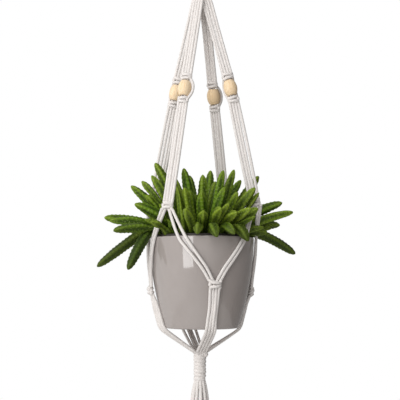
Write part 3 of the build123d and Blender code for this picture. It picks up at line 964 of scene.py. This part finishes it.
lengths = []
for ring_name, count, radius in TASSEL_RINGS:
    for index in range(count):
        tip_z = TASSEL_TIP_Z + 0.009 * (0.5 + 0.5 * sin(index * 4.1 + radius * 1000))
        line = smooth_line(tassel_route(index, count, radius, tip_z))
        length = float(np.linalg.norm(np.diff(line, axis=0), axis=1).sum())
        strand = cord_piece(f"tassel_{ring_name}_{index}", [line], TASSEL_CORD_R, FRAY)
        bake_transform(strand)
        in_front = cos(radians(360 * (index + 0.25) / count)) > 0
        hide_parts("tassel_front" if in_front else "tassel_back")
        line[:: max(1, len(line) // 40)].tolist() + [line[-1].tolist()]
        lengths.append(length)
print("tassel strands", len(lengths), "mm", round(min(lengths) * 1000), "to", round(max(lengths) * 1000))

# %% [markdown]
# ## Ring and loops
# The strands are folded over the bottom of a turned wooden ring.

# %% Ring and loops
RING_EYE_R = 0.0185
RING_BAR_R = 0.0045
RING_CENTRE_Z = -RING_EYE_R
RING_MID_R = RING_EYE_R + RING_BAR_R
LOOPS = 8
CLEAR = 0.0003


def ring_loop(index):
    """One strand over the ring's bar, its two legs drawn in below it."""
    step = PITCH / (RING_EYE_R - CLEAR - CORD_R)
    angle = (index - (LOOPS - 1) / 2) * step
    down = np.array([sin(angle), 0, -cos(angle)])
    bar = UP * RING_CENTRE_Z + down * RING_MID_R
    reach = RING_BAR_R + CLEAR + CORD_R + 0.0005
    over = np.array([0.0, 1.0, 0.0])
    end = np.array([(index - (LOOPS - 1) / 2) * PITCH, LOOP_END_Y, LOOP_END_Z])
    start = bar + over * reach
    side = start + (end - start) * 0.35 + over * 0.001
    top = bar - down * reach
    shoulder = reach * 0.42
    half = [top + over * shoulder, bar - down * shoulder + over * reach, side, end - UP * 0.0008]
    return [p * (1, -1, 1) for p in reversed(half)] + half


loops = [smooth_line(ring_loop(i)) for i in range(LOOPS)]
dress(cord_piece("ring_loops_cotton", loops), "ring_loops", ["ring_loops"])

RING_COLOURS = ((0.74, 0.55, 0.36), (0.52, 0.33, 0.18), (0.22, 0.12, 0.05))
ring_wood = wood_finish("ring wood", *RING_COLOURS, (90, 700, 700))
hanging_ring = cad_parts["hanging_ring"]
hanging_ring.data.materials.clear()
hanging_ring.data.materials.append(ring_wood.material)

# %% [markdown]
# ## Glazed cover pot
# A smooth bowl in a glossy taupe glaze. The glaze breaks slightly darker where it is thick and
# leaves the turned foot bare. A profile of arcs is turned on the axis, finely enough that the
# reflections stay clean.

# %% Pot
glaze = Finish("taupe glaze", {"Specular IOR Level": 1.0})
place = glaze.place()
cloud = glaze.noise(glaze.stretched(place, (1, 1, 0.5)), 22.0, 3.0, 0.55)
specks = glaze.spread(glaze.noise(place, 1400.0, 1.0), 0.72, 0.78)
bare = glaze.attribute("bare")
glazed = glaze.blend(glaze.spread(cloud, 0.3, 0.7), (0.318, 0.282, 0.266), (0.358, 0.322, 0.305))
specked = glaze.blend(specks * 0.35, glazed, (0.16, 0.135, 0.12))
glaze.paint(colour=glaze.blend(bare, specked, (0.62, 0.55, 0.47)), roughness=0.06 + bare * 0.6)
glaze.bump(cloud, 0.0006, 0.10)

POT_WALL = 0.0045
POT_FLOOR = 0.005
RIM_ROUND = 0.0016
BASE_ROUND = 0.0025
POT_TURNS = 192


def arc_points(centre, radius, start, end, count):
    return [
        (centre[0] + radius * cos(radians(a)), centre[1] + radius * sin(radians(a)))
        for a in np.linspace(start, end, count)
    ]


def pot_profile():
    base = POT_BASE_Z
    hollow = 0.0012
    points = [(0, base + hollow), (POT_BASE_R * 0.80, base + hollow)]
    points += [(POT_BASE_R * 0.84, base + 0.0002), (POT_BASE_R * 0.86, base)]
    points += arc_points((POT_BASE_R - BASE_ROUND * 0.75, base + BASE_ROUND), BASE_ROUND, -90, -12, 8)
    outside = np.linspace(BASE_ROUND * 1.5, POT_HEIGHT - RIM_ROUND, 48)
    points += [(pot_radius(base + h), base + h) for h in outside]
    points += arc_points((POT_RIM_R - RIM_ROUND, POT_RIM_Z - RIM_ROUND), RIM_ROUND, 10, 90, 8)
    points += arc_points((POT_RIM_R - POT_WALL + RIM_ROUND, POT_RIM_Z - RIM_ROUND), RIM_ROUND, 90, 175, 8)
    inside = np.linspace(POT_HEIGHT - 2 * RIM_ROUND, POT_FLOOR * 1.6, 24)
    points += [(pot_radius(base + h) - POT_WALL, base + h) for h in inside]
    points += [(POT_BASE_R - POT_WALL - 0.003, base + POT_FLOOR), (0, base + POT_FLOOR)]
    return points


verts, faces = lathe(pot_profile(), POT_TURNS)
height = verts[:, 2] - POT_BASE_Z
foot = (height < 0.0004) & (np.hypot(verts[:, 0], verts[:, 1]) < POT_BASE_R - 0.0022)
pot = make_piece("cover_pot_glazed", verts, faces, glaze.material, {"bare": foot.astype(float)})
dress(pot, "cover_pot", ["cover_pot"])

# %% [markdown]
# ## Liner and potting mix
# The plant grows in a thin moulded pot that drops into the glazed one. The mix is bark, grit and
# peat: a bumpy sheet with crumbs scattered on it.

# %% Liner and mix
liner_plastic = Finish("liner plastic", {"Specular IOR Level": 0.4})
scuffs = liner_plastic.noise(liner_plastic.place(), 260.0, 4.0, 0.6)
dark_brown = liner_plastic.blend(scuffs, (0.020, 0.017, 0.014), (0.045, 0.038, 0.032))
liner_plastic.paint(colour=dark_brown, roughness=0.4 + scuffs * 0.25)
liner_plastic.bump(scuffs, 0.0001, 0.4)

LINER_BASE_R = 0.041
LINER_TOP_R = 0.0595
LINER_LIP_R = 0.0618
LINER_TOP_Z = POT_RIM_Z + 0.003
LINER_LIP_Z = LINER_TOP_Z - 0.005
LINER_WALL = 0.0013
LINER_BASE_Z = POT_BASE_Z + POT_FLOOR
LIP_ROUND = 0.0008


def liner_profile():
    points = [(0, LINER_BASE_Z), (LINER_BASE_R - 0.001, LINER_BASE_Z), (LINER_BASE_R, LINER_BASE_Z + 0.001)]
    points += [(LINER_TOP_R - 0.0003, LINER_LIP_Z - 0.001), (LINER_TOP_R, LINER_LIP_Z)]
    points += arc_points((LINER_LIP_R - LIP_ROUND, LINER_LIP_Z + LIP_ROUND), LIP_ROUND, -90, 0, 5)
    points += arc_points((LINER_LIP_R - LIP_ROUND, LINER_TOP_Z - LIP_ROUND), LIP_ROUND, 0, 90, 5)
    points += arc_points((LINER_TOP_R - LINER_WALL + 0.0006, LINER_TOP_Z - 0.0006), 0.0006, 90, 180, 5)
    points += [(LINER_BASE_R - LINER_WALL, LINER_BASE_Z + LINER_WALL), (0, LINER_BASE_Z + LINER_WALL)]
    return points


verts, faces = lathe(liner_profile(), 128)
liner = make_piece("grow_pot_moulded", verts, faces, liner_plastic.material)
dress(liner, "grow_pot", ["grow_pot"])

earth = Finish("potting mix", {"Roughness": 0.95, "Specular IOR Level": 0.2})
grit = earth.noise(earth.place(), 420.0, 4.0, 0.7)
lumps = earth.noise(earth.place(), 120.0, 2.0)
tint = earth.attribute("tone")
peat = earth.blend(earth.spread(grit, 0.3, 0.7), (0.018, 0.012, 0.008), (0.085, 0.055, 0.034))
earth.paint(colour=earth.blend(tint, peat, earth.blend(lumps, (0.20, 0.13, 0.08), (0.36, 0.31, 0.26))))
earth.bump(grit + lumps, 0.0008, 0.9)

MIX_TOP_Z = POT_RIM_Z - 0.004
MIX_R = 0.0570
MIX_SINKS = 0.0004
CRUMBS = 420
CRUMB_RING_R = 0.89
CRUMB_RING_Z = 0.45


def rough(x, y, scale, seed):
    """Smooth unevenness from a few waves."""
    waves = np.random.default_rng(seed)
    total = 0
    for k in range(6):
        a, b, c = waves.uniform(-1, 1, 3)
        total = total + np.sin((a * x + b * y) * scale * (1 + k * 0.6) + c * 9)
    return total / 6


def crumb_shape():
    """A rough ball of twenty triangles: two poles and two rings of five corners."""
    ball = [(0, 0, 1)]
    for start, z in ((0, CRUMB_RING_Z), (36, -CRUMB_RING_Z)):
        for k in range(5):
            turn = radians(start + 72 * k)
            ball.append((CRUMB_RING_R * cos(turn), CRUMB_RING_R * sin(turn), z))
    ball.append((0, 0, -1))
    shell = []
    for k in range(5):
        after = (k + 1) % 5
        shell += [(0, k + 1, after + 1), (k + 1, k + 6, after + 1)]
        shell += [(k + 6, after + 6, after + 1), (11, after + 6, k + 6)]
    return np.array(ball), shell


def mix_mesh():
    rings, turns = 34, 120
    profile = [(0, 0)] + [(MIX_R * (i / rings) ** 0.9, 0) for i in range(1, rings + 1)]
    verts, faces = lathe(profile, turns)
    x, y = verts[:, 0], verts[:, 1]
    edge = np.clip(np.hypot(x, y) / MIX_R, 0, 1)
    uneven = 0.0011 * rough(x, y, 420, 3) + 0.0006 * rough(x, y, 1500, 4)
    verts[:, 2] = MIX_TOP_Z - MIX_SINKS - 0.0022 * edge**6 + uneven
    faces = [f[::-1] for f in faces]
    start = len(verts)
    foot_r, foot_z = LINER_BASE_R - LINER_WALL - 0.0008, LINER_BASE_Z + LINER_WALL + 0.0002
    skirt = [(MIX_R, MIX_TOP_Z - 0.004), (foot_r, foot_z), (0, foot_z)]
    low, low_faces = lathe(skirt, turns)
    rim = start - turns
    faces += [(rim + i, start + i, start + (i + 1) % turns, rim + (i + 1) % turns) for i in range(turns)]
    faces += [tuple(v + start for v in f[::-1]) for f in low_faces]
    verts = np.concatenate([verts, low])
    tone = np.zeros(len(verts))
    crumbs = np.random.default_rng(21)
    ball, shell = crumb_shape()
    parts, tones = [verts], [tone]
    for _ in range(CRUMBS):
        radius, angle = MIX_R * 0.96 * sqrt(crumbs.uniform()), crumbs.uniform(0, 2 * pi)
        size = crumbs.uniform(0.0006, 0.0019)
        lump = ball * crumbs.uniform(0.6, 1.2, (12, 1)) * size * crumbs.uniform(0.6, 1.3, 3)
        spot = np.array([radius * cos(angle), radius * sin(angle), MIX_TOP_Z - MIX_SINKS + size * 0.4])
        base = sum(len(p) for p in parts)
        parts.append(lump + spot)
        tones.append(np.full(12, crumbs.uniform(0, 1) ** 2))
        faces += [tuple(v + base for v in f) for f in shell]
    return np.concatenate(parts), faces, np.concatenate(tones)


verts, faces, tones = mix_mesh()
mix = make_piece("potting_mix_crumbed", verts, faces, earth.material, {"tone": tones})
dress(mix, "grow_pot", ["potting_mix"])

# %% [markdown]
# ## The succulent
# A clump of finger-like stems. Each has four blunt ribs set with small soft teeth that sit
# alternately on neighbouring ribs, and a rounded tip. Modelling the ribs and teeth gives the
# knobbly outline. The colour follows them: dark between the ribs and pale on their crests is
# painted shade and painted highlight, and the pale teeth are the skin's own. Low down near the
# rim the stems are painted darker, as painted shade. The stems are thicker and more than the
# plain CAD ones, and ride with the same four groups.

# %% Stem finish
leaf = Finish("succulent skin", {"Specular IOR Level": 0.2})
rib = leaf.attribute("rib")
tooth = leaf.attribute("tooth")
tip = leaf.attribute("tip")
kind = leaf.attribute("kind")
mottle = leaf.noise(leaf.place(), 330.0, 3.0, 0.6)
flecks = leaf.spread(leaf.noise(leaf.place(), 700.0, 1.0), 0.58, 0.66)
deep_green = leaf.blend(kind, (0.022, 0.052, 0.001), (0.042, 0.070, 0.003))
fresh_green = leaf.blend(kind, (0.115, 0.225, 0.003), (0.205, 0.285, 0.014))
# painted shade and painted highlight: rib crests lean to the fresh green, the grooves between ribs to the
# deep green; the mottle in this blend is the skin's own
skin = leaf.blend(leaf.spread(rib * 0.60 + mottle * 0.8, 0.38, 1.02), deep_green, fresh_green)
tipped = leaf.blend(tip * 0.45, skin, (0.23, 0.32, 0.02))
spotted = leaf.blend(flecks * 0.42, tipped, (0.34, 0.42, 0.13))
toothed = leaf.blend(leaf.spread(tooth, 0.45, 1.0) * 0.30, spotted, (0.38, 0.46, 0.17))
height = leaf.node("ShaderNodeSeparateXYZ", sockets={0: leaf.place()}, output="Z")
shaded = leaf.spread(height, POT_RIM_Z + 0.026, POT_RIM_Z - 0.004)
leaf.paint(colour=leaf.blend(shaded * 0.7, toothed, (0.012, 0.022, 0.003)), roughness=0.48 + mottle * 0.25)
leaf.bump(mottle, 0.0006, 0.5)

# %% Stem shape
STEM_R = 0.0041
STEM_START = 0.003
RIBS = 4
STEM_SECTION = 24
STEM_STEP = 0.0010
TOOTH_PITCH = 0.0052
STEM_SWAY = 0.0006
STEM_RINGS = [
    {"foot": 0.0470, "bends": [(0.0560, 0.0135), (0.0720, 0.0170)]},
    {"foot": 0.0365, "bends": [(0.0560, 0.0255)]},
    {"foot": 0.0255, "bends": [(0.0420, 0.0310)]},
    {"foot": 0.0140, "bends": [(0.0210, 0.0300)]},
    {"foot": 0.0460, "bends": [(0.0545, 0.0124), (0.0680, 0.0124)]},
]
STEMS = {
    "left": [
        [(-68.5, -61, 104, -462), (-82, -79, 133, -459)],
        [(-64.5, -62, 121, -417), (-78, -76, 118, -402), (-92, -89, 124, -397)],
        [(-66, -65, 91, -383), (-87, -84, 90, -358)],
        [(-78, -82, 60, -328), (-118, -118, 40, -344)],
        [(-112.5, -112.5, 84, -417)],
    ],
    "front": [
        [(-3, -4, 80, -420), (11, 12, 84, -424), (25.5, 27, 84, -420), (39.5, 41.5, 84, -428)],
        [(-13.5, -13, 84, -393), (1, 1, 82, -396), (15, 15, 86, -392), (29.5, 29, 84, -396)]
        + [(43.3, 41.5, 88, -391), (56.6, 52.6, 86, -390)],
        [(-20, -20, 62, -366), (1, 0, 64, -372), (22, 24, 66, -366), (42, 43, 64, -370)]
        + [(62.5, 61, 75, -363)],
        [(-38, -38, 36, -338), (2, 2, 30, -347), (42, 42, 40, -341)],
        [],
    ],
    "right": [
        [(106, 105, 127, -441), (121, 119, 124, -427)],
        [(97, 95, 118, -389), (112, 111, 110, -404), (126, 125, 106, -396)],
        [(96, 96, 104, -377), (118, 112, 80, -341)],
        [(82, 80, 42, -337), (122, 122, 60, -346)],
        [(74.4, 74.4, 84, -417)],
    ],
    "back": [
        [(187, 187, 98, -430), (201, 202, 92, -422), (215, 214, 100, -434)],
        [(180, 179, 98, -399), (194, 194, 96, -394), (208, 209, 98, -402), (222, 223, 92, -392)],
        [(169, 169, 68, -361), (190, 190, 72, -368), (211, 211, 68, -360), (232, 232, 72, -366)],
        [(162, 162, 38, -333), (202, 202, 44, -339)],
        [(153.5, 153.5, 84, -417)],
    ],
}


# More stems one by one, as group, foot azimuth and radius, tip azimuth, radius and height.
EXTRA = [
    ("left", -74, 22, -79, 77, -353),
    ("left", -66, 26, -72, 66, -346),
    ("left", -72, 34, -67, 75, -372),
    ("left", -58, 36, -54, 64, -384),
    ("left", -84, 34, -88, 84, -380),
    ("left", -62, 42, -60, 80, -402),
    ("front", -40, 30, -41, 55, -391),
    ("front", 66, 40, 68, 77, -369),
    ("front", 12, 40, 24, 78, -386),
    ("front", 36, 40, 50, 84, -400),
]
FILL_TRIES = 900
SECTORS = {"left": (-128, -50), "front": (-50, 70), "right": (70, 140), "back": (140, 232)}
FULL = 1.75
LEAST = 0.62
SPARE = 0.0005
OVERLAP = 0.0012
PRESSED = 1.15


def stem_line(route):
    """A stem's middle line in even steps, with the rounded end's length added."""
    line, _ = stepped(smooth_line(route), STEM_STEP)
    beyond = unit(line[-1] - line[-3])
    extra = int(STEM_R * 0.9 / STEM_STEP)
    return np.concatenate([line, [line[-1] + beyond * STEM_STEP * (k + 1) for k in range(extra)]])


def to_nearest(line, points, girths=0.0):
    """How far each place on a line is from the nearest surface of some round things."""
    return (np.linalg.norm(line[:, None] - points[None], axis=2) - girths).min(axis=1)


def eased(limit):
    """A run of limits with their dips widened and their corners rounded."""
    low = np.array([limit[max(0, i - 3) : i + 4].min() for i in range(len(limit))])
    return np.convolve(np.pad(low, 3, mode="edge"), np.full(7, 1 / 7), mode="valid")


def planted_route(shape, foot_az, tip_az, tip_r, tip_z):
    foot = at(foot_az, shape["foot"], MIX_TOP_Z + STEM_START - 0.004)
    bends = [at(foot_az, r, MIX_TOP_Z + h) for r, h in shape["bends"]]
    return [foot, *bends, at(tip_az, tip_r / 1000, tip_z / 1000)]


def extra_route(foot_az, foot_r, tip_az, tip_r, tip_z):
    """From the mix, up and out in one easy curve."""
    foot = at(foot_az, foot_r / 1000, MIX_TOP_Z - 0.001)
    tip = at(tip_az, tip_r / 1000, tip_z / 1000)
    knee = (foot + tip) / 2 + UP * 0.006 - out(foot_az) * 0.003
    return [foot, knee, tip]


def grow_clump():
    """Every stem as its group, its line and how thick it may be along it."""
    cords = np.concatenate([stepped(line, 0.002)[0] for line in hung])
    planted = [
        (group, stem_line(planted_route(shape, *place)))
        for group, rings in STEMS.items()
        for shape, places in zip(STEM_RINGS, rings)
        for place in places
    ]
    grown = []
    for i, (group, line) in enumerate(planted):
        others = np.concatenate([other for k, (_, other) in enumerate(planted) if k != i])
        room = np.minimum(to_nearest(line, others) / 2 * 1.15, to_nearest(line, cords) - CORD_R - SPARE)
        grown.append((group, line, eased(np.minimum(room, STEM_R * FULL))))
    points = np.concatenate([line for _, line, _ in grown])
    girths = np.concatenate([girth for _, _, girth in grown])
    dice = np.random.default_rng(5)
    waiting = [(group, extra_route(*place), PRESSED) for group, *place in EXTRA]
    for _ in range(FILL_TRIES):
        group = list(SECTORS)[dice.integers(4)]
        foot_az, foot_r = dice.uniform(*SECTORS[group]), 52 * sqrt(dice.uniform())
        lean = dice.uniform(4, 26) + foot_r * 0.35
        tip_z = -345 - 0.035 * (foot_r + lean * 0.5) ** 1.75 * dice.uniform(0.3, 1.3) - dice.uniform(0, 26)
        route = extra_route(foot_az, foot_r, foot_az + dice.uniform(-9, 9), foot_r + lean, tip_z)
        waiting.append((group, route, 0))
    for group, route, pressed in waiting:
        line = stem_line(route)
        free = to_nearest(line, cords) - CORD_R - SPARE
        room = np.minimum(np.maximum(to_nearest(line, points, girths) + OVERLAP, STEM_R * pressed), free)
        if line[-1][2] < MIX_TOP_Z + 0.016 or room[6:].min() < STEM_R * LEAST:
            continue
        girth = eased(np.clip(room, STEM_R * LEAST, STEM_R * FULL))
        grown.append((group, line, girth))
        points, girths = np.concatenate([points, line]), np.concatenate([girths, girth])
    return grown


def stem_mesh(line, girth, offset, dice):
    """One ribbed, toothed stem round a line."""
    run = np.arange(len(line)) * STEM_STEP
    angle = 2 * pi * np.arange(STEM_SECTION) / STEM_SECTION
    sway = np.sin(run * dice.uniform(60, 130) + dice.uniform(0, 6))
    line = line + np.outer(sway, dice.uniform(-1, 1, 3)) * STEM_SWAY
    twist = dice.uniform(0, 2 * pi) + run * dice.uniform(-8, 8)
    local = angle[None] - twist[:, None]
    crest = (0.5 + 0.5 * np.cos(RIBS * local)) ** 1.3
    alternate = np.where(np.cos(2 * local) > 0, 0.0, 0.5)
    wave = 0.5 + 0.5 * np.cos(2 * pi * (run[:, None] / TOOTH_PITCH + alternate))
    tooth = crest * wave**2
    left = np.clip((run[-1] - run) / 0.012, 0, 1)
    blunt = np.sqrt(np.clip(1 - (1 - left) ** 2, 0.004, 1))
    taper = np.interp(run / run[-1], (0, 0.15, 0.45, 0.75, 1), (0.78, 0.92, 1.0, 0.92, 0.58))
    radii = (girth * blunt * taper)[:, None] * (0.82 + 0.14 * crest + 0.11 * tooth)
    verts, faces = loft(line, radii, offset)
    at_tip = np.repeat(np.clip(1 - (run[-1] - run) / 0.014, 0, 1)[:, None], STEM_SECTION, axis=1)
    return verts, faces, crest.reshape(-1), tooth.reshape(-1), at_tip.reshape(-1)


# %% Grow the clump
clump = grow_clump()
for rank, group in enumerate(STEMS):
    dice = np.random.default_rng(rank * 11 + 3)
    verts, faces, fields = [], [], {"rib": [], "tooth": [], "tip": [], "kind": []}
    offset = 0
    for line, girth in [(line, girth) for name, line, girth in clump if name == group]:
        made, quads, crest, tooth_at, tip_at = stem_mesh(line, girth, offset, dice)
        verts.append(made)
        faces += quads
        offset += len(made)
        for key, data in zip(fields, (crest, tooth_at, tip_at, np.full(len(made), dice.uniform(0, 1)))):
            fields[key].append(data)
    fields = {key: np.concatenate(data) for key, data in fields.items()}
    stems = make_piece(f"{group}_stems_ribbed", np.concatenate(verts), faces, leaf.material, fields)
    dress(stems, "grow_pot", [f"{group}_stems"])
print("stems grown", len(clump))
